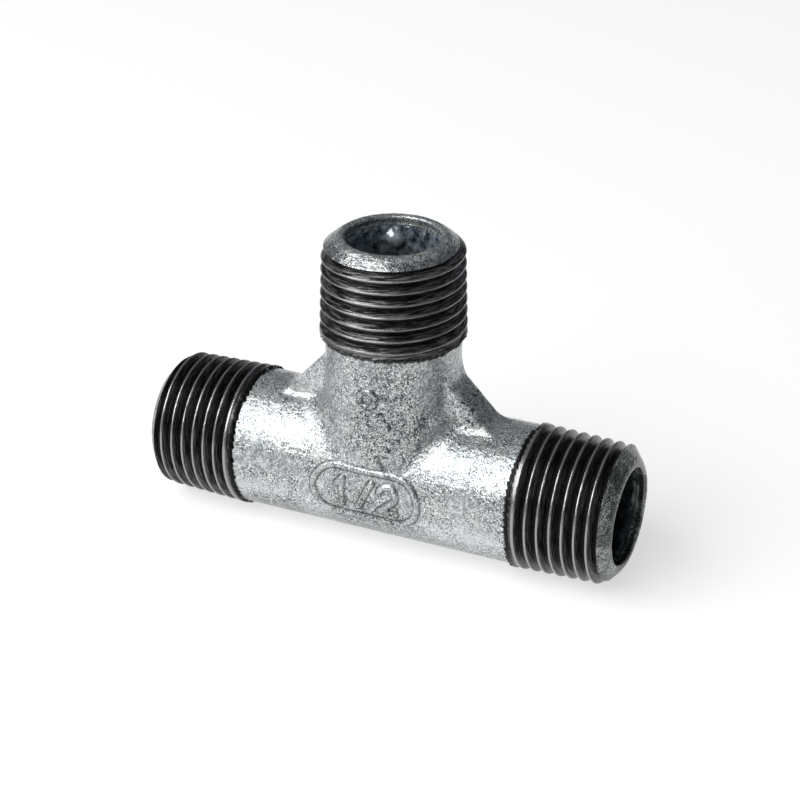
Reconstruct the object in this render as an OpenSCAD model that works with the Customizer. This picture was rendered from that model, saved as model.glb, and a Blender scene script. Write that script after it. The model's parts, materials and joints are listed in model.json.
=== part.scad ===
// Male tee, R 1/2 on all three ends, hot-dip galvanised malleable iron.
// One casting with three taper threads cut into it. The axes of the run and the
// branch meet at the origin, the run lies along X and the branch points up +Z.

/* [Casting] */
// Centre of the tee to each end face
centre_to_end = 37; // [35:0.5:44]
// Outside diameter of the run between its threads
run_barrel_d = 20.6; // [19.8:0.1:21.0]
// Outside diameter of the branch below its thread
branch_barrel_d = 19.8; // [19.0:0.1:20.4]
// Bore of the run
run_bore_d = 13.6; // [12.6:0.1:14.0]
// Bore of the branch, a little smaller than the run's
branch_bore_d = 13.2; // [12.2:0.1:13.4]

/* [End noses] */
// Outside diameter of the flat ring on each end face
end_face_d = 15.7; // [15.4:0.1:16.8]
// Radius that rounds the mouth of each bore
mouth_round = 0.5; // [0.2:0.1:0.6]
// Angle of the nose's bevel, measured from the end face
bevel_angle = 40; // [30:1:50]

/* [Taper thread, ISO 7-1 R 1/2] */
// Distance from one thread crest to the next
pitch = 1.814; // [1.814, 1.337]
// Major diameter at the gauge plane
gauge_d = 20.955; // [20.8:0.005:21.1]
// Gauge plane to the end face
gauge_length = 8.2; // [7.5:0.1:9.0]
// Depth of the thread, from crest to root
thread_depth = 1.162; // [0.8:0.001:1.2]
// End face to the shoulder where the thread stops
thread_zone = 15.3; // [14:0.1:16]
// Turn of the left thread about its axis, in degrees
left_thread_turn = 180; // [0:1:360]
// Turn of the right thread about its axis, in degrees
right_thread_turn = 195; // [0:1:360]
// Turn of the branch thread about its axis, in degrees
branch_thread_turn = 232; // [0:1:360]

/* [Crotch ribs] */
// Thickness of the web in each crotch
rib_thickness = 5.6; // [4:0.1:7]
// How far up the branch each web reaches, from the centre
rib_up_branch = 17.0; // [15:0.1:20]
// How far along the run each web reaches, from the centre
rib_along_run = 16.5; // [15:0.1:20]

/* [Raised marks] */
// How far the marks stand out of the casting
mark_height = 0.35; // [0.2:0.05:0.4]
// Width of a raised line
mark_line = 0.8; // [0.6:0.05:1.0]
// Length of the frame round the size mark
mark_length = 17.4; // [16:0.2:18]
// Width of the frame round the size mark
mark_width = 8.4; // [8:0.2:9]

/* [Hidden] */
fine = 96;
overlap = 1;

taper = 1 / 16;
neck_r = 8.4;
shoulder_at = centre_to_end - thread_zone;
run_barrel_r = run_barrel_d / 2;
branch_barrel_r = branch_barrel_d / 2;

// Nose: the bevel runs from the end face to the root of the first thread.
nose_r = end_crest_r() - thread_depth;
nose_length = (nose_r - end_face_d / 2) * tan(bevel_angle);

// Thread surface: rings of points, stepped evenly along the axis. The first point
// of a ring is turned a little, so that no edge lies in a plane of symmetry.
ring_points = 36;
first_point_angle = 3;
rings_per_pitch = 5;
runout_length = 1.6 * pitch;
shoulder_slope = 0.8;

// The size digits stand on one line, in a box this tall.
digit_height = 4.2;
digit_width = 2.6;
ring_mark_d = 3.2;
ring_mark_at = [0.4, 15.6];

function end_crest_r() = (gauge_d - gauge_length * taper) / 2;

// Radius at a distance from the end face, before the thread is cut into it.
function blank_r(depth, barrel_r) =
    min(end_crest_r() + depth * taper / 2,
        nose_r + (depth - nose_length) / tan(bevel_angle),
        barrel_r + (thread_zone - depth) * shoulder_slope);

// How much of the full thread depth is cut there: it fades out at the shoulder.
function cut_share(depth) = max(0, min(1, (thread_zone - depth) / runout_length));

// Radius of the thread's surface at an angle, with rounded crests and roots.
function thread_r(depth, angle, barrel_r) =
    let (groove = thread_depth * (1 - cos(360 * depth / pitch + angle)) / 2)
    min(blank_r(depth, barrel_r),
        end_crest_r() + depth * taper / 2 - groove * cut_share(depth));

// Wall of the thread on one end: it stands on +Z with its free end up.
module thread_solid(barrel_r, turn) {
    span = thread_zone - nose_length;
    rings = ceil(span / pitch * rings_per_pitch);
    surface = [
        for (i = [0 : rings])
            let (depth = thread_zone - span * i / rings)
            for (j = [0 : ring_points - 1])
                let (angle = first_point_angle + 360 * j / ring_points,
                     r = thread_r(depth, angle + turn, barrel_r))
                [r * cos(angle), r * sin(angle), centre_to_end - depth]
    ];
    walls = [
        for (i = [0 : rings - 1], j = [0 : ring_points - 1])
            let (a = i * ring_points + j,
                 b = i * ring_points + (j + 1) % ring_points)
            each [[a, b + ring_points, b], [a, a + ring_points, b + ring_points]]
    ];
    bottom = [for (j = [0 : ring_points - 1]) j];
    top = [for (j = [0 : ring_points - 1]) (rings + 1) * ring_points - 1 - j];
    difference() {
        polyhedron(points = surface, faces = concat(walls, [bottom, top]));
        cylinder(r = neck_r, h = centre_to_end + overlap, $fn = fine);
    }
}

// Neck and nose of one end, as a turned outline standing on +Z.
module end_core() {
    face_r = end_face_d / 2;
    rotate_extrude($fn = fine)
        polygon([
            [0, shoulder_at - overlap],
            [neck_r, shoulder_at - overlap],
            [neck_r, centre_to_end - nose_length],
            [nose_r, centre_to_end - nose_length],
            [face_r, centre_to_end],
            [0, centre_to_end]
        ]);
}

// The bore from the centre out through one end, with its rounded mouth.
module bore(bore_d) {
    r = bore_d / 2;
    cylinder(r = r, h = centre_to_end + overlap, $fn = fine);
    translate([0, 0, centre_to_end - mouth_round])
        rotate_extrude($fn = fine)
            difference() {
                square([r + mouth_round, mouth_round + overlap]);
                translate([r + mouth_round, 0]) circle(r = mouth_round, $fn = fine);
            }
}

module to_right() { rotate([0, 90, 0]) children(); }
module to_left() { rotate([0, -90, 0]) children(); }

module barrels() {
    translate([-shoulder_at, 0, 0])
        rotate([0, 90, 0])
            cylinder(r = run_barrel_r, h = 2 * shoulder_at, $fn = fine);
    cylinder(r = branch_barrel_r, h = shoulder_at, $fn = fine);
}

// A flat web that fills the crotch on each side of the branch.
module ribs() {
    top_x = branch_barrel_r - overlap;
    foot_z = run_barrel_r - overlap;
    rotate([90, 0, 0])
        linear_extrude(height = rib_thickness, center = true)
            polygon([
                [-rib_along_run - overlap, foot_z],
                [rib_along_run + overlap, foot_z],
                [top_x, rib_up_branch + overlap],
                [-top_x, rib_up_branch + overlap]
            ]);
}

// Flat outline of a bar between two points, with round ends.
module bar(from, to, width) {
    run = to - from;
    length = norm(run);
    translate(from)
        rotate(atan2(run[1], run[0])) {
            translate([0, -width / 2]) square([length, width]);
            circle(d = width, $fn = 24);
            translate([length, 0]) circle(d = width, $fn = 24);
        }
}

// Flat outline of the frame: two straight sides and two half rings.
module frame_outline(inset) {
    r = mark_width / 2 - inset;
    half = mark_length / 2 - mark_width / 2;
    translate([-half, -r]) square([2 * half, 2 * r]);
    for (side = [-1, 1]) translate([side * half, 0]) circle(r = r, $fn = fine);
}

module digit_one() {
    h = digit_height / 2;
    bar([0, -h], [0, h], mark_line);
    bar([0, h], [-digit_width * 0.35, h * 0.5], mark_line);
}

module digit_two() {
    h = digit_height / 2;
    r = digit_width / 2;
    bend = h - r;
    translate([0, bend])
        difference() {
            circle(r = r + mark_line / 2, $fn = fine);
            circle(r = r - mark_line / 2, $fn = fine);
            rotate(-40) translate([-2 * r, -2 * r]) square([4 * r, 2 * r]);
        }
    bar([r * cos(-40), bend + r * sin(-40)], [-r, -h], mark_line);
    bar([-r, -h], [r, -h], mark_line);
}

// The size cast on the run: 1/2 in a round-ended frame.
module size_outline() {
    spread = 3.6;
    difference() {
        frame_outline(0);
        frame_outline(mark_line);
    }
    translate([-spread, 0]) digit_one();
    bar([-digit_width * 0.4, -digit_height / 2], [digit_width * 0.4, digit_height / 2], mark_line);
    translate([spread, 0]) digit_two();
}

// The raised marks follow the barrels that they stand on.
module marks() {
    reach = run_barrel_r + overlap;
    intersection() {
        translate([0, -reach / 2, 0])
            rotate([90, 0, 0])
                linear_extrude(height = reach / 2) size_outline();
        translate([-mark_length / 2 - overlap, 0, 0])
            rotate([0, 90, 0])
                cylinder(r = run_barrel_r + mark_height, h = mark_length + 2 * overlap, $fn = fine);
    }
    intersection() {
        translate([ring_mark_at[0], -reach / 2, ring_mark_at[1]])
            rotate([90, 0, 0])
                difference() {
                    cylinder(d = ring_mark_d, h = reach / 2, $fn = 48);
                    cylinder(d = ring_mark_d - 2 * mark_line, h = reach / 2, $fn = 48);
                }
        cylinder(r = branch_barrel_r + mark_height, h = shoulder_at, $fn = fine);
    }
}

// The galvanised casting: barrels, webs, marks, and the cores under the threads.
module casting() {
    color("lightslategray")
        difference() {
            union() {
                barrels();
                ribs();
                marks();
                end_core();
                to_left() end_core();
                to_right() end_core();
            }
            bore(branch_bore_d);
            to_left() bore(run_bore_d);
            to_right() bore(run_bore_d);
        }
}

module left_thread() {
    color("dimgray") to_left() thread_solid(run_barrel_r, left_thread_turn);
}

module right_thread() {
    color("dimgray") to_right() thread_solid(run_barrel_r, right_thread_turn);
}

module branch_thread() {
    color("dimgray") thread_solid(branch_barrel_r, branch_thread_turn);
}

casting();
left_thread();
right_thread();
branch_thread();
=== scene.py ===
"""A galvanised male tee, R 1/2, on a light table.

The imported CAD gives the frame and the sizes. Each CAD node gets one finished mesh: the casting is a
smooth implicit surface with cast fillets and marks, and each thread is a fine surface turned about
its axis. Shapes are worked out in millimetres and stored in metres.
"""

import json
import math

import bmesh
import bpy
import numpy as np
from mathutils import Matrix, Vector, noise


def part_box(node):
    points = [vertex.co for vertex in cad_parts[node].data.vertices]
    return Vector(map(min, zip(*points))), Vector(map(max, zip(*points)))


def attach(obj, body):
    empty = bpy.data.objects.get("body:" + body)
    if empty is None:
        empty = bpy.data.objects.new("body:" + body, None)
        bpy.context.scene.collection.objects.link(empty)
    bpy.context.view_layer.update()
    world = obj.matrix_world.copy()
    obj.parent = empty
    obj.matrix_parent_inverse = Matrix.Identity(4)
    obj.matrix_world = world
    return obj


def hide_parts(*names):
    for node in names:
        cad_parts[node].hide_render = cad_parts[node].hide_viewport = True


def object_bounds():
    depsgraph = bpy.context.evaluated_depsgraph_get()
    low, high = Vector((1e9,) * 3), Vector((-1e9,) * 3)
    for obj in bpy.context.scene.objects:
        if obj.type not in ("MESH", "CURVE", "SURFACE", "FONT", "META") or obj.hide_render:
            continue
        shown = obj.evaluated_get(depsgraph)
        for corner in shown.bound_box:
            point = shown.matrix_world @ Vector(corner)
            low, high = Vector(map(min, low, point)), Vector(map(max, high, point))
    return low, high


MM = 0.001

# Camera: where it stands about the tee, and how far its aim is from where the axes meet.
VIEW_AZIMUTH = 24.54
VIEW_ELEVATION = 27.93
VIEW_ROLL = 0.04
VIEW_DISTANCE = 309.8
AIM_RIGHT = 0.92
AIM_UP = 9.43
SENSOR_WIDTH = 36.0
LENS = 93.93

# Key light: where it stands about the tee, its size in metres, and what a mirror would show of it.
KEY_AZIMUTH = -35
KEY_ELEVATION = 44
KEY_DISTANCE = 1.0
KEY_WIDTH = 1.05
KEY_HEIGHT = 0.92
KEY_RADIANCE = 4.8

# Taper thread, ISO 7-1 R 1/2, as in the CAD.
PITCH = 1.814
GAUGE_D = 20.955
GAUGE_LENGTH = 8.2
TAPER = 1 / 16
# The worn flanks lie flatter than the nominal 27.5 degrees.
FLANK_ANGLE = 33.0
THREAD_DEPTH = 1.162
# The die leaves a narrow flat on each crest, with rounded edges, and a rounded root.
CREST_HALF = 0.12
CREST_ROUND = 0.22
ROOT_ROUND = 0.3
# Length over which the thread fades out at its shoulder
RUNOUT = 0.9 * PITCH
# The torn shoulder where the die stopped: its rise per millimetre along the axis, the number of
# its teeth, and how short and how long a tooth may be
TORN_SLOPE = 1.1
TEETH = 62
TEETH_DEPTH = (0.08, 0.5)
# Turn of each thread about its axis, in degrees, as in the CAD
LEFT_TURN = 180
RIGHT_TURN = 195
BRANCH_TURN = 232
# Tool marks are this much shorter in the texture than on the thread.
STREAK_SQUEEZE = 0.06

# End noses, as in the CAD, and how softly the casting rounds them.
FACE_R = 7.85
BEVEL_ANGLE = 40.0
NECK_R = 8.4
MOUTH_BLEND = 1.6
FACE_BLEND = 1.2
# What the two blends take off the flat ring of the face
FACE_SUNK = 0.5

# Casting.
BRANCH_R = 9.9
RIB_HALF = 2.8
CROTCH_FILLET = 4.5
# Each web: how far it reaches along the run and up the branch, and its fillet.
# No two are cast alike.
LEFT_RIB = (16.4, 17.4, 0.9)
RIGHT_RIB = (16.1, 16.6, 1.2)
RIB_EDGE = 0.8
# How far the barrels run on under the threads, and the threads over the barrels, where nothing shows
TUCK = 0.5
# How far each nose's skin stays under the thread, and how far it runs back under it
NOSE_UNDER = 0.02
NOSE_TUCK = 0.2

# Raised marks: a generic size in a round-ended frame, and a ring.
MARK_HEIGHT = 0.35
MARK_LINE = 0.8
MARK_LENGTH = 17.4
MARK_WIDTH = 8.4
DIGIT_HEIGHT = 4.2
DIGIT_WIDTH = 2.6
DIGIT_SPREAD = 3.6
RING_MARK_D = 3.2
RING_MARK_X = 0.4
RING_MARK_Z = 15.6
# Nothing behind this plane is marked.
MARK_FRONT = -4

# A V-shaped scratch between the two marks: (x, z) of a top, the foot and the other top
SCRATCH = ((2.0, 6.5), (3.1, 3.9), (1.9, 5.8))
SCRATCH_DEPTH = 0.08

# A frozen drop of zinc on the far wall of the branch's bore: its middle, its radii and its height
BEAD_AT = (-2.6, 6.1, 33.5)
BEAD_RADII = (1.35, 1.5, 1.4)
BEAD_HEIGHT = 1.0

# Mesh sizes.
COARSE_VOXEL = 0.78
THREAD_STEP = 0.06
THREAD_COLUMNS = 240
# Edges of a thread sharper than this stay sharp.
SHARP_ANGLE = 35

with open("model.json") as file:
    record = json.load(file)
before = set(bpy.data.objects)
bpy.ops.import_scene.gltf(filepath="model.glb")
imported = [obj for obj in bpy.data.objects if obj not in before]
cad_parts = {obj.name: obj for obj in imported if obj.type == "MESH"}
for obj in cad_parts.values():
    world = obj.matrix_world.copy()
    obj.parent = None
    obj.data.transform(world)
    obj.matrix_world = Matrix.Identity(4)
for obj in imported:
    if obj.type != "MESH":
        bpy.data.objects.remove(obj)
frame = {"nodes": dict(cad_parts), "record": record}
cad_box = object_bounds()


def mount_radius(name):
    """Radius of a bore mount, in millimetres."""
    mounts = frame["record"]["mounts"]
    return next(m["dims"]["r_mm"] for m in mounts if m["name"] == name)


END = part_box("casting")[1].z / MM
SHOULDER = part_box("branch_thread")[0].z / MM
RUN_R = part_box("casting")[1].y / MM
RUN_BORE_R = mount_radius("run_bore")
BRANCH_BORE_R = mount_radius("branch_bore")
THREAD_ZONE = END - SHOULDER
END_CREST_R = (GAUGE_D - GAUGE_LENGTH * TAPER) / 2
NOSE_R = END_CREST_R - THREAD_DEPTH
NOSE_LENGTH = (NOSE_R - FACE_R) * math.tan(math.radians(BEVEL_ANGLE))


# ---------------------------------------------------------------- implicit shape of the casting


def smooth_min(a, b, width):
    """Union of two distance fields, with a fillet of about this width."""
    share = np.clip(0.5 + 0.5 * (b - a) / width, 0, 1)
    return b * (1 - share) + a * share - width * share * (1 - share)


def smooth_max(a, b, width):
    """Intersection of two distance fields, with a rounded edge of about this width."""
    return -smooth_min(-a, -b, width)


def barrels(x, y, z):
    """Run and branch, with a fillet that is widest where they cross at a right angle."""
    across_run = np.hypot(y, z)
    across_branch = np.hypot(x, y)
    run = across_run - RUN_R
    branch = smooth_max(across_branch - BRANCH_R, -z, 2.0)
    along = y * y / np.maximum(across_run * across_branch, 1e-6)
    width = 0.05 + CROTCH_FILLET * (1 - np.clip(along, 0, 1))
    return smooth_min(run, branch, width)


def rib(x, y, z, along_run, up_branch):
    """The web in one crotch: a slab under a slanted roof."""
    rise = up_branch - RUN_R
    reach = along_run - BRANCH_R
    roof = ((x - along_run) * rise + (z - RUN_R) * reach) / math.hypot(rise, reach)
    slab = smooth_max(roof, np.abs(y) - RIB_HALF, RIB_EDGE)
    return np.maximum(slab, -z)


def body(x, y, z):
    """Barrels with their webs."""
    plain = barrels(x, y, z)
    left = smooth_min(plain, rib(-x, y, z, *LEFT_RIB[:2]), LEFT_RIB[2])
    right = smooth_min(plain, rib(x, y, z, *RIGHT_RIB[:2]), RIGHT_RIB[2])
    return np.where(x < 0, left, right)


def end_core(axial, across):
    """Neck and nose of one end, from its distance along and across the axis."""
    angle = math.radians(BEVEL_ANGLE)
    bevel = (axial - END) * math.cos(angle) + (across - FACE_R) * math.sin(angle)
    nose = smooth_max(bevel, axial - END - FACE_SUNK, FACE_BLEND)
    nose = np.maximum(nose, across - (NOSE_R - NOSE_UNDER))
    nose = np.maximum(nose, END - NOSE_LENGTH - NOSE_TUCK - axial)
    neck = np.maximum(across - NECK_R, axial - END + NOSE_LENGTH)
    return np.minimum(nose, neck)


def casting_distance(points):
    """Distance to the casting's surface, in millimetres: negative in the iron."""
    x, y, z = points[:, 0], points[:, 1], points[:, 2]
    across_run = np.hypot(y, z)
    across_branch = np.hypot(x, y)
    clip = np.maximum(np.abs(x), z) - (SHOULDER + TUCK)
    outside = smooth_max(body(x, y, z), clip, 0.3)
    outside = np.minimum(outside, end_core(np.abs(x), across_run))
    outside = np.minimum(outside, np.where(z > 0, end_core(z, across_branch), 9.0))
    return smooth_max(outside, -waterway(points), MOUTH_BLEND)


def waterway(points):
    """Distance to the wall of the bores: negative in the open waterway."""
    x, y, z = points[:, 0], points[:, 1], points[:, 2]
    run_bore = np.hypot(y, z) - RUN_BORE_R
    branch_bore = smooth_max(np.hypot(x, y) - BRANCH_BORE_R, -z, 1.0)
    return smooth_min(run_bore, branch_bore, 0.8)


def gradient(distance, points, step=0.02):
    """Slope of a distance field at each point."""
    slope = np.empty_like(points)
    for axis in range(3):
        shift = np.zeros(3)
        shift[axis] = step
        slope[:, axis] = (distance(points + shift) - distance(points - shift)) / (2 * step)
    return slope


def project(distance, points, passes):
    """Points moved onto the surface of a distance field."""
    for _ in range(passes):
        slope = gradient(distance, points)
        size = np.maximum((slope * slope).sum(1), 0.05)
        points = points - np.clip(distance(points) / size, -0.5, 0.5)[:, None] * slope
    return points


def relax(points, edges, share):
    """Points moved towards the middle of their neighbours."""
    total = np.zeros_like(points)
    count = np.bincount(edges.ravel(), minlength=len(points))
    for a, b in ((0, 1), (1, 0)):
        for axis in range(3):
            total[:, axis] += np.bincount(
                edges[:, a], weights=points[edges[:, b], axis], minlength=len(points)
            )
    middle = total / np.maximum(count, 1)[:, None]
    return points + share * (middle - points)


# ---------------------------------------------------------------- surface of the casting


def fractal(points, size, octaves, seed):
    """Smooth noise from about -1 to 1, with features of this size in millimetres."""
    shift = Vector((seed * 17.3, seed * 5.1, seed * 11.7))
    scaled = points / size
    return np.array([noise.fractal(Vector(p) + shift, 0.9, 2.1, octaves) for p in scaled])


def smooth_step(low, high, value):
    """0 at low, 1 at high, with soft ends."""
    share = np.clip((value - low) / (high - low), 0, 1)
    return share * share * (3 - 2 * share)


def bell(away, width):
    """Bell curve: 1 where away is 0, nearly gone at twice the width."""
    return np.exp(-((away / width) ** 2))


def bar_distance(u, v, start, end):
    """Distance in the plane from a straight line between two points."""
    run = np.subtract(end, start)
    du, dv = u - start[0], v - start[1]
    share = np.clip((du * run[0] + dv * run[1]) / (run @ run), 0, 1)
    return np.hypot(du - share * run[0], dv - share * run[1])


def arc_distance(u, v, centre, radius, low, high):
    """Distance in the plane from an arc between two angles in degrees, ends included."""
    du, dv = u - centre[0], v - centre[1]
    middle = math.radians((low + high) / 2)
    half = math.radians((high - low) / 2)
    turn = np.arctan2(dv, du) - middle
    turn = np.clip((turn + math.pi) % (2 * math.pi) - math.pi, -half, half) + middle
    return np.hypot(du - radius * np.cos(turn), dv - radius * np.sin(turn))


def mark_distance(u, v):
    """Distance from the middle of the nearest raised line of the size mark."""
    frame_r = (MARK_WIDTH - MARK_LINE) / 2
    half = (MARK_LENGTH - MARK_WIDTH) / 2
    tall = DIGIT_HEIGHT / 2
    wide = DIGIT_WIDTH / 2
    bend = tall - wide
    foot = (DIGIT_SPREAD - wide, -tall)
    end = math.radians(-40)
    lines = [
        np.abs(np.hypot(np.maximum(np.abs(u) - half, 0), v) - frame_r),
        bar_distance(u, v, (-DIGIT_SPREAD, -tall), (-DIGIT_SPREAD, tall)),
        bar_distance(u, v, (-DIGIT_SPREAD, tall), (-DIGIT_SPREAD - 0.9, tall * 0.5)),
        bar_distance(u, v, (-1.04, -tall), (1.04, tall)),
        arc_distance(u, v, (DIGIT_SPREAD, bend), wide, -40, 170),
        bar_distance(
            u, v, (DIGIT_SPREAD + wide * math.cos(end), bend + wide * math.sin(end)), foot
        ),
        bar_distance(u, v, foot, (DIGIT_SPREAD + wide, -tall)),
    ]
    return np.minimum.reduce(lines)


def ring_distance(u, v):
    """Distance from the middle of the ring mark's line."""
    ring_r = (RING_MARK_D - MARK_LINE) / 2
    return np.abs(np.hypot(u - RING_MARK_X, v - RING_MARK_Z) - ring_r)


def raised(distance, half_width):
    """Height share of a raised line with soft shoulders."""
    return 1 - smooth_step(0.35 * half_width, 1.5 * half_width, distance)


def mark_height(points):
    """How far the marks raise the skin."""
    x, y, z = points[:, 0], points[:, 1], points[:, 2]
    front = y < MARK_FRONT
    on_run = front & (np.abs(x) < MARK_LENGTH / 2 + 2) & (np.abs(z) < MARK_WIDTH / 2 + 2)
    height = np.zeros(len(points))
    height[on_run] = raised(mark_distance(x[on_run], z[on_run]), MARK_LINE / 2)
    from_ring = ring_distance(x, z)
    ring = np.where(front & (from_ring < 1), raised(from_ring, MARK_LINE / 2), 0)
    return MARK_HEIGHT * np.maximum(height, ring)


def mark_foot_shade(points):
    """Share of painted shade along the foot of the raised lines."""
    x, y, z = points[:, 0], points[:, 1], points[:, 2]
    nearest = np.minimum(mark_distance(x, z), ring_distance(x, z) + 0.08)
    foot = 1.35 * MARK_LINE / 2
    return np.where(y < MARK_FRONT, bell(nearest - foot, 0.12), 0)


def skin_noise(points):
    """Lumps of the cast and dipped skin, in millimetres."""
    broad = fractal(points, 5.0, 2, 1)
    fine = fractal(points, 1.0, 3, 2)
    return 0.04 * broad + 0.032 * fine


def nose_share(points):
    """1 on the end noses, which are darker: partly their own duller zinc, partly painted shade."""
    nose_tone_and_shade = np.where(points[:, 2] > SHOULDER, 0.35, 1.0)
    return nose_tone_and_shade * smooth_step(END - 2.6, END - 1.8, np.abs(points).max(1))


def drip_noise(points, inside):
    """Runs of zinc that froze on the walls of the bores, in millimetres."""
    return -0.26 * inside * np.abs(fractal(points, 1.6, 2, 4))


def bore_share(points):
    """1 on the walls of the bores, with a ragged edge under each mouth."""
    wall = waterway(points)
    share = 1 - smooth_step(0.1, 0.5, wall)
    sunk = END - np.abs(points).max(1)
    mouth = (share > 0) & (sunk < 4)
    sunk[mouth] += 0.6 * fractal(points[mouth], 1.5, 2, 7)
    return share * smooth_step(0.5, 1.4, sunk)


def bead_share(points):
    """Height share of the frozen drop of zinc: 1 in its middle."""
    away = np.linalg.norm((points - np.array(BEAD_AT)) / np.array(BEAD_RADII), axis=1)
    near = away < 3
    away[near] += 0.1 * fractal(points[near], 0.9, 2, 6)
    return np.sqrt(np.clip(1 - away * away, 0, 1))


def scratch_share(points):
    """1 on the lines of the scratch."""
    top, foot, side = SCRATCH
    x, y, z = points[:, 0], points[:, 1], points[:, 2]
    nearest = np.minimum(bar_distance(x, z, top, foot), bar_distance(x, z, side, foot))
    return np.where(y < MARK_FRONT, bell(nearest, 0.15), 0)


def grit_share(points):
    """How gritty the cast skin is, in four patches that are centred on (x, z)."""
    x, z = points[:, 0], points[:, 2]
    on_branch = bell(x - 3, 6) * bell(z - 13, 9)
    on_mark = bell(x - 1, 9) * bell(z + 4, 5)
    on_web = bell(x - 13, 3) * bell(z - 12.5, 3.5)
    on_foot = bell(x + 15, 4) * bell(z + 6, 2.5)
    places = [on_branch, 0.65 * on_mark, on_web, on_foot]
    return 0.15 + 0.85 * np.maximum.reduce(places) + 0.3 * fractal(points, 4.0, 2, 5)


def underside_shade_share(points):
    """1 low on the run, where painted shade darkens the zinc towards the bottom."""
    return smooth_step(-0.45, -0.8, points[:, 2] / RUN_R)


def painted_sheen_share(points):
    """1 where painted reflection lightens the zinc: in a band low on the run, and on the edges of the
    webs.
    """
    x, y, z = points[:, 0], points[:, 1], points[:, 2]
    band = bell(z / RUN_R + 0.33, 0.17)
    beside_mark = 0.6 * smooth_step(5, 10, np.abs(x))
    left = rib(-x, y, z, *LEFT_RIB[:2])
    right = rib(x, y, z, *RIGHT_RIB[:2])
    on_web = bell(np.where(x < 0, left, right), 0.5)
    on_edge = on_web * bell(np.abs(y) - RIB_HALF + 0.35, 0.4)
    between_ends = smooth_step(RUN_R + 1.2, RUN_R + 2.2, z) * (1 - smooth_step(15, 16.5, z))
    return np.maximum(beside_mark * band, on_edge * between_ends)


def link(name, mesh):
    """A new object of this mesh, in the scene."""
    piece = bpy.data.objects.new(name, mesh)
    bpy.context.scene.collection.objects.link(piece)
    return piece


def evaluated_mesh(piece):
    """The piece's mesh with its modifiers applied."""
    graph = bpy.context.evaluated_depsgraph_get()
    return bpy.data.meshes.new_from_object(piece.evaluated_get(graph), depsgraph=graph)


def voxel_mesh(node):
    """An even, closed mesh of a CAD node."""
    mesh = frame["nodes"][node].data.copy()
    welded = bmesh.new()
    welded.from_mesh(mesh)
    bmesh.ops.remove_doubles(welded, verts=welded.verts, dist=1e-7)
    welded.to_mesh(mesh)
    welded.free()
    piece = link("voxels", mesh)
    remesh = piece.modifiers.new("voxels", "REMESH")
    remesh.mode = "VOXEL"
    remesh.voxel_size = COARSE_VOXEL * MM
    even = evaluated_mesh(piece)
    bpy.data.objects.remove(piece)
    return even


def mesh_points(mesh):
    """Places of a mesh's vertices, in millimetres."""
    flat = np.empty(len(mesh.vertices) * 3)
    mesh.vertices.foreach_get("co", flat)
    return flat.reshape(-1, 3) / MM


def set_points(mesh, points):
    """Moves a mesh's vertices to these places, in millimetres."""
    mesh.vertices.foreach_set("co", (points * MM).ravel())
    mesh.update()


def mesh_edges(mesh):
    """Pairs of vertices that an edge joins."""
    flat = np.empty(len(mesh.edges) * 2, np.int64)
    mesh.edges.foreach_get("vertices", flat)
    return flat.reshape(-1, 2)


def settle(mesh, rounds):
    """Spreads a mesh evenly over the casting's surface."""
    points = project(casting_distance, mesh_points(mesh), 6)
    edges = mesh_edges(mesh)
    for _ in range(rounds):
        points = project(casting_distance, relax(points, edges, 0.5), 2)
    set_points(mesh, points)


def subdivided(mesh):
    """The mesh with every face cut into four, and faces on the marks cut again."""
    piece = link("finer", mesh)
    finer = piece.modifiers.new("finer", "SUBSURF")
    finer.levels = 1
    mesh = evaluated_mesh(piece)
    bpy.data.objects.remove(piece)
    cut = bmesh.new()
    cut.from_mesh(mesh)
    marked = [e for e in cut.edges if all(near_mark(v.co / MM) for v in e.verts)]
    bmesh.ops.subdivide_edges(cut, edges=marked, cuts=1, use_grid_fill=True)
    cut.to_mesh(mesh)
    cut.free()
    return mesh


def near_mark(point):
    """Whether the skin needs its finest faces there."""
    if point.y > -6:
        return False
    margin = 0.6
    reach_x = MARK_LENGTH / 2 + margin
    reach_z = MARK_WIDTH / 2 + margin
    on_run = abs(point.x) < reach_x and abs(point.z) < reach_z
    on_scratch = 1.5 < point.x < 3.6 and 3.4 < point.z < 7
    ring_away = math.hypot(point.x - RING_MARK_X, point.z - RING_MARK_Z)
    return on_run or on_scratch or ring_away < RING_MARK_D / 2 + margin


def finish_skin(mesh):
    """Raises the marks, lumps and drips of the casting, and stores what its material needs."""
    points = mesh_points(mesh)
    slope = gradient(casting_distance, points)
    normals = slope / np.linalg.norm(slope, axis=1)[:, None]
    inside = bore_share(points)
    bead = bead_share(points)
    scratch = scratch_share(points)
    lift = skin_noise(points) + mark_height(points) + BEAD_HEIGHT * bead
    lift += drip_noise(points, inside) - SCRATCH_DEPTH * scratch
    set_points(mesh, points + normals * lift[:, None])
    add_attribute(mesh, "bore", inside)
    add_attribute(mesh, "bead", bead)
    add_attribute(mesh, "run_bore", smooth_step(2, 6, np.abs(points[:, 0]) - points[:, 2]))
    # Painted shade at the feet of the raised marks, and the scratch's dark line
    add_attribute(mesh, "foot_shade_and_scratch", np.maximum(mark_foot_shade(points), scratch))
    add_attribute(mesh, "grit", grit_share(points))
    add_attribute(mesh, "nose", nose_share(points))
    # Painted shade low on the run
    add_attribute(mesh, "under", underside_shade_share(points))
    # Painted reflection: a light band low on the run and on the webs' edges
    add_attribute(mesh, "pale", painted_sheen_share(points))


def make_casting():
    """The galvanised casting as one closed skin."""
    mesh = voxel_mesh("casting")
    settle(mesh, 10)
    mesh = subdivided(mesh)
    settle(mesh, 2)
    finish_skin(mesh)
    mesh.materials.clear()
    mesh.shade_smooth()
    piece = link("galvanised_casting", mesh)
    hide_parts("casting")
    return piece


# ---------------------------------------------------------------- threads


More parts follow.
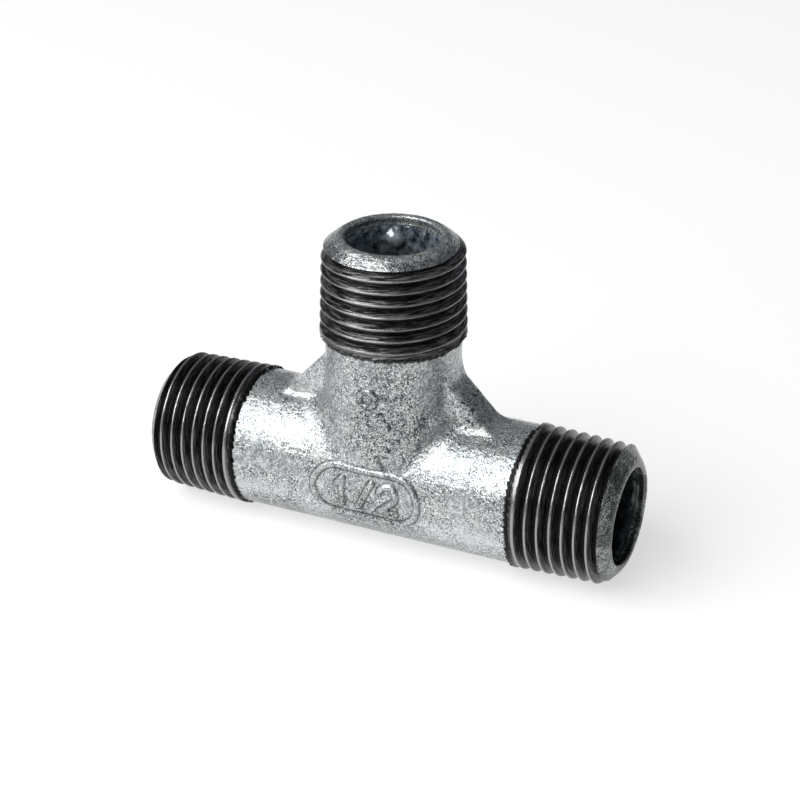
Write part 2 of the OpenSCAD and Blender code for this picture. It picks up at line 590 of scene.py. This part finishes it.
def thread_cut(phase):
    """Depth below the crest at a phase from 0 (crest) to 0.5 (root)."""
    along = np.abs((phase + 0.5) % 1 - 0.5) * PITCH
    flank = (along - CREST_HALF) / math.tan(math.radians(FLANK_ANGLE))
    return smooth_min(smooth_max(flank, 0, CREST_ROUND), THREAD_DEPTH, ROOT_ROUND)


def thread_surface(depth, angle, barrel_r, turn, teeth):
    """Radius of a threaded end's surface, and where it is as cast or torn black: 1 there."""
    crest = END_CREST_R + depth * TAPER / 2
    phase = depth / PITCH + (angle + turn) / 360
    share = np.clip((THREAD_ZONE - 0.4 - depth) / RUNOUT, 0, 1)
    cut = crest - thread_cut(phase) * share
    bevel = FACE_R + depth / math.tan(math.radians(BEVEL_ANGLE))
    torn = barrel_r + (THREAD_ZONE + teeth - depth) * TORN_SLOPE
    as_cast = smooth_step(-0.2, 0.2, cut - bevel)
    black = smooth_step(-0.95, -0.7, depth - THREAD_ZONE - teeth)
    return np.minimum(np.minimum(cut, bevel + 0.015), torn), as_cast, black


def ring_teeth(seed):
    """Ragged edge where the die stopped, as a depth for each column."""
    rng = np.random.default_rng(seed)
    turn = np.arange(THREAD_COLUMNS) / THREAD_COLUMNS
    ticks = turn * TEETH
    size = rng.uniform(*TEETH_DEPTH, TEETH + 1)
    size[-1] = size[0]
    low = ticks.astype(int)
    saw = 1 - (ticks - low)
    slow = 0.12 * np.sin(turn * 2 * math.pi * 3 + seed)
    return saw * size[low] + slow


def helix_place(depth, angle, turn):
    """Texture place that is drawn out along the helix; it repeats only in the roots."""
    phase = depth / PITCH + (angle + turn) / 360
    along = ((phase + 0.5) % 1 - 0.5) * PITCH
    across = np.radians(angle)
    reach = STREAK_SQUEEZE * END_CREST_R
    place = [reach * np.cos(across) + 0.35 * depth, reach * np.sin(across), along]
    return np.stack(place, -1).reshape(-1, 3)


def closed(grid):
    """The rows of a sleeve, with the first and the last one twice."""
    return np.vstack([grid[:1], grid, grid[-1:]])


def thread_places():
    """Depth and angle of each point of a sleeve, in rows along its axis."""
    start = THREAD_ZONE + TUCK
    stop = NOSE_LENGTH - 0.35
    rows = int((start - stop) / THREAD_STEP)
    angles = np.arange(THREAD_COLUMNS) * 360 / THREAD_COLUMNS
    return np.meshgrid(np.linspace(start, stop, rows), angles, indexing="ij")


def thread_groove(depth, radius):
    """Depth below the crest as a share of the full depth. The torn shoulder counts as no crest."""
    groove = np.clip((END_CREST_R + depth * TAPER / 2 - radius) / THREAD_DEPTH, 0, 1)
    shoulder = smooth_step(THREAD_ZONE - 0.7, THREAD_ZONE - 0.3, depth)
    return np.maximum(groove, 0.2 * shoulder)


def end_places(radius, angle, along, to_frame):
    """Places on one end, from radius, angle in degrees and distance from the centre."""
    across = np.radians(angle)
    local = np.stack([radius * np.cos(across), radius * np.sin(across), along], -1)
    return local.reshape(-1, 3) @ np.array(to_frame).T


def make_thread(node, barrel_r, turn, to_frame, seed):
    """One threaded end as a closed sleeve on its neck."""
    depth, angle = thread_places()
    teeth = ring_teeth(seed)[None, :]
    radius, as_cast, black = thread_surface(depth, angle, barrel_r, turn, teeth)
    radius = np.maximum(radius, NECK_R + 0.1)
    groove = closed(thread_groove(depth, radius))
    # The first and the last row lie on the neck, and the faces between them close the sleeve.
    radius = closed(radius)
    radius[0] = radius[-1] = NECK_R - 0.05
    depth, angle = closed(depth), closed(angle)
    as_cast, black = closed(as_cast).ravel(), closed(black).ravel()

    points = end_places(radius, angle, END - depth, to_frame)
    outward = end_places(1, angle, 0 * depth, to_frame)
    mesh = bpy.data.meshes.new(node)
    mesh.from_pydata((points * MM).tolist(), [], ring_faces(len(depth), THREAD_COLUMNS))
    outer = np.ones(depth.shape)
    outer[0] = outer[-1] = 0
    lift = (0.25 + 1.3 * as_cast) * skin_noise(points) * outer.ravel()
    set_points(mesh, points + outward * lift[:, None])
    add_place(mesh, "tool_marks", helix_place(depth, angle, turn))
    add_attribute(mesh, "as_cast", as_cast)
    add_attribute(mesh, "groove", groove.ravel())
    add_attribute(mesh, "black", black)
    add_attribute(mesh, "grit", grit_share(points))
    add_attribute(mesh, "nose", nose_share(points))
    mesh.shade_smooth()
    mesh.set_sharp_from_angle(angle=math.radians(SHARP_ANGLE))
    piece = link(node + "_surface", mesh)
    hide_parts(node)
    return piece


def ring_faces(rows, columns):
    """Quads of a closed tube of rings, whose last ring joins its first."""
    faces = []
    for row in range(rows):
        above = (row + 1) % rows
        for column in range(columns):
            beside = (column + 1) % columns
            corners = ((row, column), (row, beside), (above, beside), (above, column))
            faces.append(tuple(r * columns + c for r, c in corners))
    return faces


def add_place(mesh, name, points):
    """A place for a texture, in millimetres, that isn't the place in space."""
    attribute = mesh.attributes.new(name, "FLOAT_VECTOR", "POINT")
    attribute.data.foreach_set("vector", np.asarray(points, np.float32).ravel())


def add_attribute(mesh, name, values):
    """A number on each vertex, which the material reads by name."""
    attribute = mesh.attributes.new(name, "FLOAT", "POINT")
    attribute.data.foreach_set("value", np.asarray(values, np.float32))


# ---------------------------------------------------------------- materials

# Colours of the zinc: its two ground colours, then what is laid over them.
ZINC_BLUE = (0.42, 0.455, 0.48)
ZINC_WARM = (0.57, 0.6, 0.58)
ZINC_DULL = (0.13, 0.145, 0.15)
ZINC_BRIGHT = (0.85, 0.88, 0.89)
# Painted reflection, in a band low on the run and on the webs' edges
ZINC_PAINTED_SHEEN = (0.86, 0.9, 0.92)
# Painted shade low on the run
ZINC_UNDERSIDE_SHADE = (0.1, 0.112, 0.115)
ZINC_SHADE = (0.07, 0.08, 0.08)
ZINC_SHINE = (0.95, 0.97, 0.98)
# The noses' darker zinc: partly their own tone, partly painted shade
NOSE_TONE_AND_SHADE = (0.055, 0.064, 0.052)
SPECK = (0.05, 0.057, 0.055)
NOSE_SPECK = (0.006, 0.007, 0.006)
PIT = (0.02, 0.023, 0.026)
# Painted shade at the feet of the marks, and the scratch's dark line
FOOT_SHADE_AND_SCRATCH = (0.03, 0.034, 0.036)
# Colours in the bores: painted shade with painted glints, the frozen drop, and deeper painted shade
# in the run
BORE_SHADE = (0.012, 0.017, 0.021)
BORE_GLINT = (0.4, 0.48, 0.54)
BEAD_ZINC_AND_SHEEN = (0.6, 0.65, 0.68)
RUN_BORE_SHADE = (0.006, 0.007, 0.007)
# Colours of the cut iron
IRON_DARK = (0.025, 0.024, 0.025)
IRON_STAIN = (0.03, 0.029, 0.03)
# Painted shade in the roots of the threads
ROOT_SHADE = (0.01, 0.01, 0.01)
IRON_BLACK = (0.012, 0.012, 0.012)

# Noise patterns: the size of a feature in millimetres, octaves, and roughness.
GRAIN = (0.3, 4, 0.75)
LIGHT_SPECKS = (0.2, 2, 0.6)
DARK_SPECKS = (0.24, 3, 0.7)
LUMPS = (0.8, 2, 0.6)
CLOUDS = (3.0, 4, 0.6)
PATCHES = (2.2, 3, 0.6)
MOTTLE = (0.75, 3, 0.7)
LARGE_PITS = (0.9, 4, 0.75)
# Patches of painted glints, and of gloss, in the bores
BORE_GLINTS_AND_GLOSS = (1.1, 4, 0.65)
TOOL_MARKS = (0.14, 2, 0.6)
STAINS = (2.2, 3, 0.6)
RAGGED_EDGE = (0.6, 2, 0.6)
# Small round pits: size of a cell, radius of a pit, and the share of cells with one.
SMALL_PITS = (0.8, 0.17, 0.5)

# Depth of the bumps, in millimetres.
ZINC_BUMP = 0.05
TOOL_BUMP = 0.08


class Nodes:
    """Short calls to build one material's node tree."""

    def __init__(self, name):
        self.material = bpy.data.materials.new(name)
        self.material.use_nodes = True
        self.tree = self.material.node_tree
        self.surface = self.tree.nodes["Principled BSDF"]

    def add(self, kind, **settings):
        """A new node with these settings."""
        node = self.tree.nodes.new(kind)
        for key, value in settings.items():
            setattr(node, key, value)
        return node

    def join(self, source, target):
        """A link from one socket to another."""
        self.tree.links.new(source, target)

    def set(self, node, **values):
        """Sets a node's input sockets by name, with _ for a space."""
        for key, value in values.items():
            node.inputs[key.replace("_", " ")].default_value = value

    def place(self):
        """Place on the object in millimetres."""
        where = self.add("ShaderNodeTexCoord").outputs["Object"]
        mapping = self.add("ShaderNodeMapping")
        mapping.inputs["Scale"].default_value = (1 / MM, 1 / MM, 1 / MM)
        self.join(where, mapping.inputs["Vector"])
        return mapping.outputs["Vector"]

    def noise(self, place, size, detail, roughness):
        """Noise from 0 to 1 with features of this size in millimetres."""
        node = self.add("ShaderNodeTexNoise")
        self.set(node, Scale=1 / size, Detail=detail, Roughness=roughness)
        self.join(place, node.inputs["Vector"])
        return node.outputs["Fac"]

    def cells(self, place, size):
        """Distance to the nearest point of a random scatter, and that point's random colour."""
        node = self.add("ShaderNodeTexVoronoi")
        self.set(node, Scale=1 / size)
        self.join(place, node.inputs["Vector"])
        return node.outputs["Distance"], node.outputs["Color"]

    def remap(self, value, low, high, to_low=0.0, to_high=1.0):
        """A number that goes softly from to_low to to_high as the value goes from low to high."""
        node = self.add("ShaderNodeMapRange", interpolation_type="SMOOTHSTEP")
        self.set(node, From_Min=low, From_Max=high, To_Min=to_low, To_Max=to_high)
        self.join(value, node.inputs["Value"])
        return node.outputs["Result"]

    def math(self, operation, a, b):
        """One operation on two numbers, each a value or a socket."""
        node = self.add("ShaderNodeMath", operation=operation)
        for socket, value in zip(node.inputs, (a, b)):
            if isinstance(value, (int, float)):
                socket.default_value = value
            else:
                self.join(value, socket)
        return node.outputs["Value"]

    def mix(self, share, a, b):
        """Colour between a and b, each a colour or a socket."""
        node = self.add("ShaderNodeMix", data_type="RGBA")
        for socket, value in ((node.inputs[6], a), (node.inputs[7], b)):
            if isinstance(value, tuple):
                socket.default_value = (*value, 1)
            else:
                self.join(value, socket)
        self.join(share, node.inputs[0])
        return node.outputs[2]

    def vector(self, name):
        """A place that the mesh stores under this name."""
        return self.add("ShaderNodeAttribute", attribute_name=name).outputs["Vector"]

    def attribute(self, name):
        """A number that the mesh stores under this name."""
        return self.add("ShaderNodeAttribute", attribute_name=name).outputs["Fac"]

    def channel(self, colour, index):
        """One number of a colour."""
        node = self.add("ShaderNodeSeparateColor")
        self.join(colour, node.inputs["Color"])
        return node.outputs[index]

    def bump(self, height, depth, normal=None):
        """Normal of a surface with bumps of this depth in millimetres."""
        node = self.add("ShaderNodeBump")
        self.set(node, Strength=1.0, Distance=depth * MM)
        self.join(height, node.inputs["Height"])
        if normal is not None:
            self.join(normal, node.inputs["Normal"])
        return node.outputs["Normal"]


def spots(nodes, place, size, radius, share):
    """Round spots scattered at random: 1 in a spot. Only this share of the cells has one."""
    distance, colour = nodes.cells(place, size)
    spot = nodes.remap(distance, radius / size, 0.5 * radius / size)
    chosen = nodes.math("LESS_THAN", nodes.channel(colour, 0), share)
    return nodes.math("MULTIPLY", spot, chosen)


def zinc_ground(nodes, place, cloud):
    """Colour of the zinc from afar: clouds, mottling, a band of painted reflection and painted shade
    on the underside.
    """
    colour = nodes.mix(nodes.remap(cloud, 0.4, 0.62), ZINC_BLUE, ZINC_WARM)
    mottle = nodes.noise(place, *MOTTLE)
    colour = nodes.mix(nodes.remap(mottle, 0.5, 0.4, 0, 0.4), colour, ZINC_DULL)
    colour = nodes.mix(nodes.remap(mottle, 0.53, 0.62, 0, 0.6), colour, ZINC_BRIGHT)
    # Painted reflection: a light band low on the run and along the webs' edges.
    colour = nodes.mix(nodes.attribute("pale"), colour, ZINC_PAINTED_SHEEN)
    # Painted shade: the zinc darkens towards the bottom of the run.
    under = nodes.math("MULTIPLY", nodes.attribute("under"), 0.75)
    return nodes.mix(under, colour, ZINC_UNDERSIDE_SHADE)


def zinc_grain(nodes, place, colour, grain):
    """The ground colour with dark and bright grain, which is strongest in patches."""
    patches = nodes.remap(nodes.noise(place, *PATCHES), 0.38, 0.62, 0.4, 1.0)
    shade = nodes.math("MULTIPLY", nodes.remap(grain, 0.57, 0.44), patches)
    colour = nodes.mix(shade, colour, ZINC_SHADE)
    light = nodes.noise(place, *LIGHT_SPECKS)
    shine = nodes.math("MULTIPLY", nodes.remap(light, 0.53, 0.61), patches)
    return nodes.mix(shine, colour, ZINC_SHINE)


def zinc_pits(nodes, place, grit):
    """1 in a pit: small ones everywhere, and large ones in clusters where the skin is gritty."""
    small = spots(nodes, place, *SMALL_PITS)
    large = nodes.remap(nodes.noise(place, *LARGE_PITS), 0.56, 0.585)
    large = nodes.math("MULTIPLY", large, nodes.remap(grit, 0.35, 0.95))
    pits = nodes.math("MAXIMUM", small, large)
    return nodes.math("MULTIPLY", pits, nodes.remap(grit, 0, 1, 0.6, 1.0))


def zinc_layers(nodes, place):
    """Colour, roughness and bump height of hot-dip zinc on a cast skin."""
    grain = nodes.noise(place, *GRAIN)
    cloud = nodes.noise(place, *CLOUDS)
    grit = nodes.remap(nodes.attribute("grit"), 0.1, 0.85)
    on_nose = nodes.attribute("nose")
    # The noses are darker: partly their own zinc, partly painted shade.
    nose_tone_and_shade = nodes.math("MULTIPLY", on_nose, nodes.remap(cloud, 0.62, 0.44, 0.4, 0.85))
    colour = zinc_grain(nodes, place, zinc_ground(nodes, place, cloud), grain)
    colour = nodes.mix(nose_tone_and_shade, colour, NOSE_TONE_AND_SHADE)
    dark = nodes.remap(nodes.noise(place, *DARK_SPECKS), 0.52, 0.58)
    strength = nodes.math("MAXIMUM", nodes.remap(grit, 0, 1, 0.3, 1.0), on_nose)
    specks = nodes.math("MULTIPLY", dark, strength)
    colour = nodes.mix(specks, colour, nodes.mix(nose_tone_and_shade, SPECK, NOSE_SPECK))
    pits = zinc_pits(nodes, place, grit)
    colour = nodes.mix(nodes.math("MULTIPLY", pits, 0.9), colour, PIT)
    roughness = nodes.remap(grain, 0.3, 0.7, 0.1, 0.2)
    lumps = nodes.math("MULTIPLY", nodes.noise(place, *LUMPS), 2.5)
    height = nodes.math("SUBTRACT", nodes.math("ADD", grain, lumps), pits)
    return colour, roughness, height


def blend_value(nodes, share, a, b):
    """A number between two sockets."""
    node = nodes.add("ShaderNodeMix")
    for socket, source in zip(node.inputs, (share, None, a, b)):
        if source is not None:
            nodes.join(source, socket)
    return node.outputs[0]


def bore_shade_and_glints(nodes, runs):
    """Painted shade on the zinc in the bores, with painted glints: darkest in the run, lightest on
    the frozen drop.
    """
    colour = nodes.mix(nodes.remap(runs, 0.3, 0.75), BORE_SHADE, BORE_GLINT)
    # The frozen drop: its own zinc, painted lighter as a sheen.
    colour = nodes.mix(nodes.attribute("bead"), colour, BEAD_ZINC_AND_SHEEN)
    # Painted shade, deepest in the run's bore.
    run_bore_shade = nodes.math("MULTIPLY", nodes.attribute("run_bore"), 0.85)
    return nodes.mix(run_bore_shade, colour, RUN_BORE_SHADE)


def zinc_material():
    """Bright speckled zinc outside; in the bores, glossy zinc painted dark as shade, with painted
    glints.
    """
    nodes = Nodes("galvanised_zinc")
    place = nodes.place()
    colour, roughness, height = zinc_layers(nodes, place)
    # Painted shade at the feet of the raised marks, and the scratch's dark line.
    foot_shade_and_scratch = nodes.math("MULTIPLY", nodes.attribute("foot_shade_and_scratch"), 0.95)
    colour = nodes.mix(foot_shade_and_scratch, colour, FOOT_SHADE_AND_SCRATCH)
    runs = nodes.noise(place, *BORE_GLINTS_AND_GLOSS)
    bore = nodes.remap(nodes.attribute("bore"), 0.15, 0.8)
    # Painted shade and painted glints on the walls of the bores.
    colour = nodes.mix(bore, colour, bore_shade_and_glints(nodes, runs))
    wet_roughness = nodes.remap(runs, 0.3, 0.7, 0.06, 0.2)
    roughness = blend_value(nodes, bore, roughness, wet_roughness)
    height = nodes.math("MULTIPLY", height, nodes.remap(bore, 0, 1, 1, 0.35))
    nodes.join(colour, nodes.surface.inputs["Base Color"])
    nodes.join(roughness, nodes.surface.inputs["Roughness"])
    nodes.join(nodes.bump(height, ZINC_BUMP), nodes.surface.inputs["Normal"])
    nodes.surface.inputs["Metallic"].default_value = 0.6
    return nodes.material


def iron_grey(value):
    """A grey of the cut iron, with a little purple in it."""
    return (value, 0.98 * value, value)


def iron_colour(nodes, place, streak, streak_grey_and_sheen, crest_sheen):
    """Cut iron: tool marks and stains, painted shade in the roots, a painted highlight on the crests
    and a black shoulder.
    """
    # The lighter grey of the tool marks is set per copy, partly as painted sheen.
    colour = nodes.mix(nodes.remap(streak, 0.4, 0.62), IRON_DARK, iron_grey(streak_grey_and_sheen))
    stain = nodes.remap(nodes.noise(place, *STAINS), 0.4, 0.7, 0, 0.5)
    colour = nodes.mix(stain, colour, IRON_STAIN)
    groove = nodes.attribute("groove")
    # Painted shade in the roots of the thread.
    root = nodes.math("MULTIPLY", nodes.remap(groove, 0.6, 0.95), 0.85)
    colour = nodes.mix(root, colour, ROOT_SHADE)
    # Painted highlight along the crests.
    crest = nodes.remap(groove, 0.12, 0.03, 0, 0.8)
    colour = nodes.mix(crest, colour, iron_grey(crest_sheen))
    return nodes.mix(nodes.attribute("black"), colour, IRON_BLACK)


def thread_material(name, streak_grey_and_sheen, crest_sheen):
    """Cut iron with tool marks round its axis, and zinc where the die didn't reach."""
    nodes = Nodes(name)
    place = nodes.place()
    zinc_colour, zinc_roughness, zinc_height = zinc_layers(nodes, place)
    streak = nodes.noise(nodes.vector("tool_marks"), *TOOL_MARKS)
    iron = iron_colour(nodes, place, streak, streak_grey_and_sheen, crest_sheen)
    ragged = nodes.math("MULTIPLY", nodes.noise(place, *RAGGED_EDGE), 1.5)
    zinc = nodes.remap(nodes.math("ADD", nodes.attribute("as_cast"), ragged), 1.2, 1.3)
    iron_roughness = nodes.remap(streak, 0.3, 0.7, 0.18, 0.32)
    roughness = blend_value(nodes, zinc, iron_roughness, zinc_roughness)
    tool_marks = nodes.bump(streak, TOOL_BUMP)
    skin = nodes.math("MULTIPLY", zinc_height, zinc)
    nodes.join(nodes.mix(zinc, iron, zinc_colour), nodes.surface.inputs["Base Color"])
    nodes.join(roughness, nodes.surface.inputs["Roughness"])
    nodes.join(nodes.bump(skin, ZINC_BUMP, tool_marks), nodes.surface.inputs["Normal"])
    nodes.surface.inputs["Metallic"].default_value = 0.85
    return nodes.material


# ---------------------------------------------------------------- stage


def make_floor():
    """A light table: pale, and lit a little from within."""
    half = 8.0
    low = cad_box[0].z - 0.1 * MM
    corners = [(-half, -half, low), (half, -half, low), (half, half, low), (-half, half, low)]
    mesh = bpy.data.meshes.new("floor")
    mesh.from_pydata(corners, [], [(0, 1, 2, 3)])
    floor = link("floor", mesh)
    nodes = Nodes("light_table")
    nodes.surface.inputs["Base Color"].default_value = (0.45, 0.45, 0.45, 1)
    nodes.surface.inputs["Roughness"].default_value = 0.9
    nodes.surface.inputs["Emission Color"].default_value = (1, 1, 1, 1)
    nodes.surface.inputs["Emission Strength"].default_value = 0.62
    mesh.materials.append(nodes.material)


def direction(azimuth, elevation):
    """Unit vector at this azimuth, from -Y towards +X, and this elevation, in degrees."""
    a, e = math.radians(azimuth), math.radians(elevation)
    return Vector((math.sin(a) * math.cos(e), -math.cos(a) * math.cos(e), math.sin(e)))


def make_softbox():
    """The key light: a rectangular softbox that faces the tee."""
    light = bpy.data.lights.new("key", "AREA")
    light.shape = "RECTANGLE"
    light.size = KEY_WIDTH
    light.size_y = KEY_HEIGHT
    light.energy = KEY_RADIANCE * KEY_WIDTH * KEY_HEIGHT * math.pi
    lamp = bpy.data.objects.new("key", light)
    bpy.context.scene.collection.objects.link(lamp)
    towards = direction(KEY_AZIMUTH, KEY_ELEVATION)
    lamp.location = towards * KEY_DISTANCE
    lamp.rotation_mode = "QUATERNION"
    lamp.rotation_quaternion = towards.to_track_quat("Z", "Y")


def make_world():
    """A dim room that is a little lighter overhead."""
    world = bpy.data.worlds.new("room")
    world.use_nodes = True
    bpy.context.scene.world = world
    tree = world.node_tree
    background = tree.nodes["Background"]
    where = tree.nodes.new("ShaderNodeTexCoord")
    split = tree.nodes.new("ShaderNodeSeparateXYZ")
    ramp = tree.nodes.new("ShaderNodeMapRange")
    mix = tree.nodes.new("ShaderNodeMix")
    mix.data_type = "RGBA"
    low_colour, high_colour = mix.inputs[6], mix.inputs[7]
    low_colour.default_value = (0.1, 0.107, 0.12, 1)
    high_colour.default_value = (0.16, 0.168, 0.18, 1)
    tree.links.new(where.outputs["Generated"], split.inputs["Vector"])
    tree.links.new(split.outputs["Z"], ramp.inputs["Value"])
    tree.links.new(ramp.outputs["Result"], mix.inputs[0])
    tree.links.new(mix.outputs[2], background.inputs["Color"])


def make_camera():
    """The camera at the photograph's viewing angle."""
    back = direction(VIEW_AZIMUTH, VIEW_ELEVATION)
    level = Vector((0, 0, 1)).cross(back).normalized()
    upright = back.cross(level)
    roll = math.radians(VIEW_ROLL)
    right = math.cos(roll) * level + math.sin(roll) * upright
    up = back.cross(right)
    data = bpy.data.cameras.new("camera")
    data.sensor_width = SENSOR_WIDTH
    data.lens = LENS
    data.clip_start = 0.01
    data.clip_end = 40
    camera = bpy.data.objects.new("camera", data)
    bpy.context.scene.collection.objects.link(camera)
    place = (back * VIEW_DISTANCE + right * AIM_RIGHT + up * AIM_UP) * MM
    turned = Matrix((right, up, back)).transposed()
    camera.matrix_world = Matrix.Translation(place) @ turned.to_4x4()
    bpy.context.scene.camera = camera


# ---------------------------------------------------------------- build

# Each turns an end that stands on +Z to its own place.
TO_LEFT = ((0, 0, -1), (0, 1, 0), (1, 0, 0))
TO_RIGHT = ((0, 0, 1), (0, 1, 0), (-1, 0, 0))
TO_BRANCH = ((1, 0, 0), (0, 1, 0), (0, 0, 1))


def build():
    """The whole scene: stage, pieces and materials."""
    bpy.context.scene.view_settings.view_transform = "Standard"
    make_camera()
    make_floor()
    make_world()
    make_softbox()
    casting = make_casting()
    left = make_thread("left_thread", RUN_R, LEFT_TURN, TO_LEFT, seed=1)
    right = make_thread("right_thread", RUN_R, RIGHT_TURN, TO_RIGHT, seed=2)
    branch = make_thread("branch_thread", BRANCH_R, BRANCH_TURN, TO_BRANCH, seed=3)
    casting.data.materials.append(zinc_material())
    # Two copies of the cut iron with painted light: the run's with a brighter painted highlight on
    # its crests, the branch's with lighter tool marks for the sheen on its flanks.
    along_run = thread_material("cut_iron_run", streak_grey_and_sheen=0.12, crest_sheen=0.42)
    along_branch = thread_material("cut_iron_branch", streak_grey_and_sheen=0.24, crest_sheen=0.25)
    left.data.materials.append(along_run)
    right.data.materials.append(along_run)
    branch.data.materials.append(along_branch)
    for piece in (casting, left, right, branch):
        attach(piece, "root")


build()
